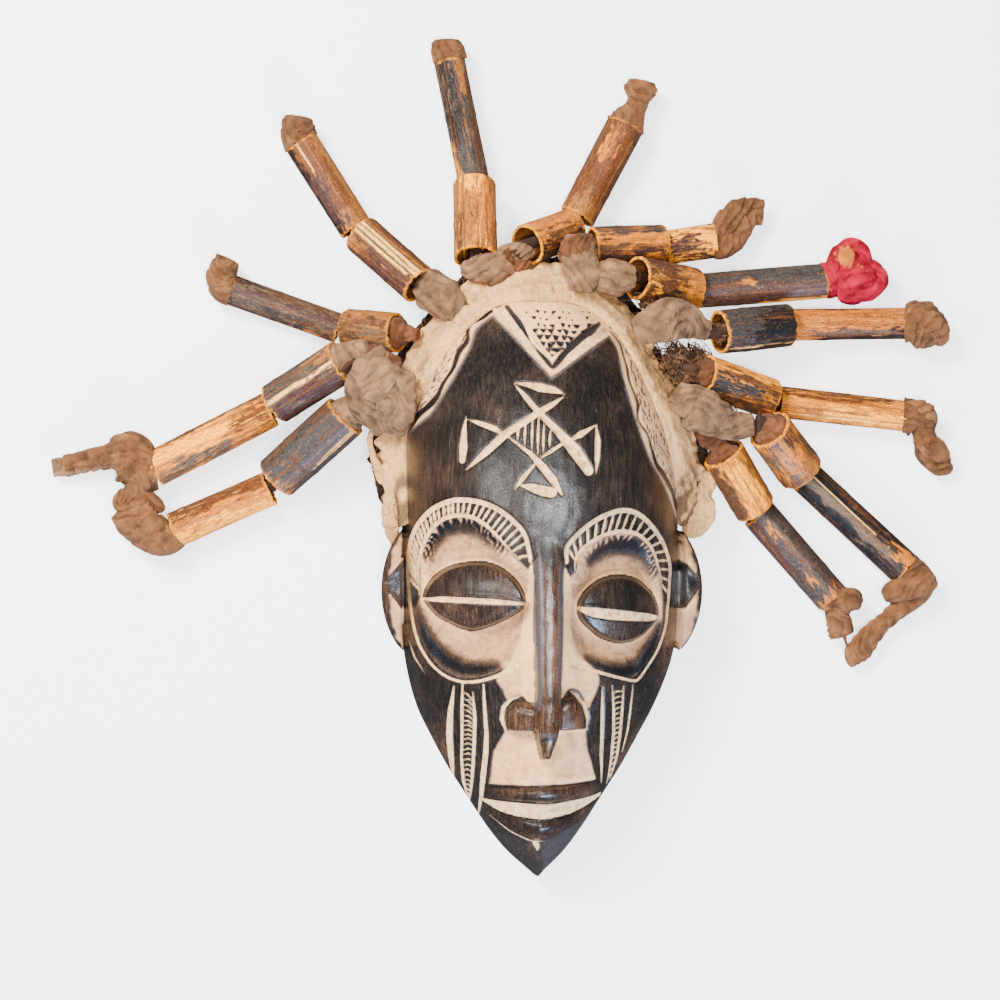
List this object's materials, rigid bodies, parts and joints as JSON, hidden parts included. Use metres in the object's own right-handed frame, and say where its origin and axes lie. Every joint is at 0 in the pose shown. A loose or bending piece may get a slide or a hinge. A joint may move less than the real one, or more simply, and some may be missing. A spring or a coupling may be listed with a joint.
{
  "type": "tribal mask",
  "caption": "Carved dark wood face mask with closed eyes, a clay-coated cap band, a fibre net and hair made of knotted cane tubes.",
  "frame": {"origin": "centre of the whole object's box, on the surface that the mask lies on", "axes": "+Z out of the face, +Y from the chin to the crown, +X to the right of someone who faces the mask"},
  "size_m": [0.4406, 0.4024, 0.0898],
  "materials": {
    "carved_wood": "dark oiled wood with pale clay in the carving",
    "clay_cloth": "matt, caked with pale clay",
    "fibre_net": "matt, coarse brown fibre",
    "dark_cane": "semi-gloss, stained and scuffed",
    "pale_cane": "semi-gloss, streaked ochre",
    "brown_cloth": "matt, dusty",
    "red_cloth": "matt, dyed red"
  },
  "bodies": {
    "root": {"carved_face": "carved_wood", "cap_band": "clay_cloth", "net_roll": "fibre_net", "lock_01_inner_cane": "dark_cane", "lock_01_outer_cane": "pale_cane", "lock_01_strip": "brown_cloth", "lock_02_inner_cane": "dark_cane", "lock_02_outer_cane": "pale_cane", "lock_02_strip": "brown_cloth", "lock_03_inner_cane": "dark_cane", "lock_03_outer_cane": "dark_cane", "lock_03_strip": "brown_cloth", "lock_04_inner_cane": "dark_cane", "lock_04_outer_cane": "dark_cane", "lock_04_strip": "brown_cloth", "lock_05_inner_cane": "pale_cane", "lock_05_outer_cane": "dark_cane", "lock_05_strip": "brown_cloth", "lock_06_inner_cane": "pale_cane", "lock_06_outer_cane": "dark_cane", "lock_06_strip": "brown_cloth", "lock_07_inner_cane": "dark_cane", "lock_07_outer_cane": "pale_cane", "lock_07_strip": "brown_cloth", "lock_08_inner_cane": "dark_cane", "lock_08_outer_cane": "dark_cane", "lock_08_strip": "red_cloth", "lock_09_inner_cane": "dark_cane", "lock_09_outer_cane": "pale_cane", "lock_09_strip": "brown_cloth", "lock_10_inner_cane": "pale_cane", "lock_10_outer_cane": "pale_cane", "lock_10_strip": "brown_cloth", "lock_11_inner_cane": "dark_cane", "lock_11_outer_cane": "dark_cane", "lock_11_strip": "brown_cloth", "lock_12_inner_cane": "pale_cane", "lock_12_outer_cane": "dark_cane", "lock_12_strip": "brown_cloth"}
  },
  "joints": []
}
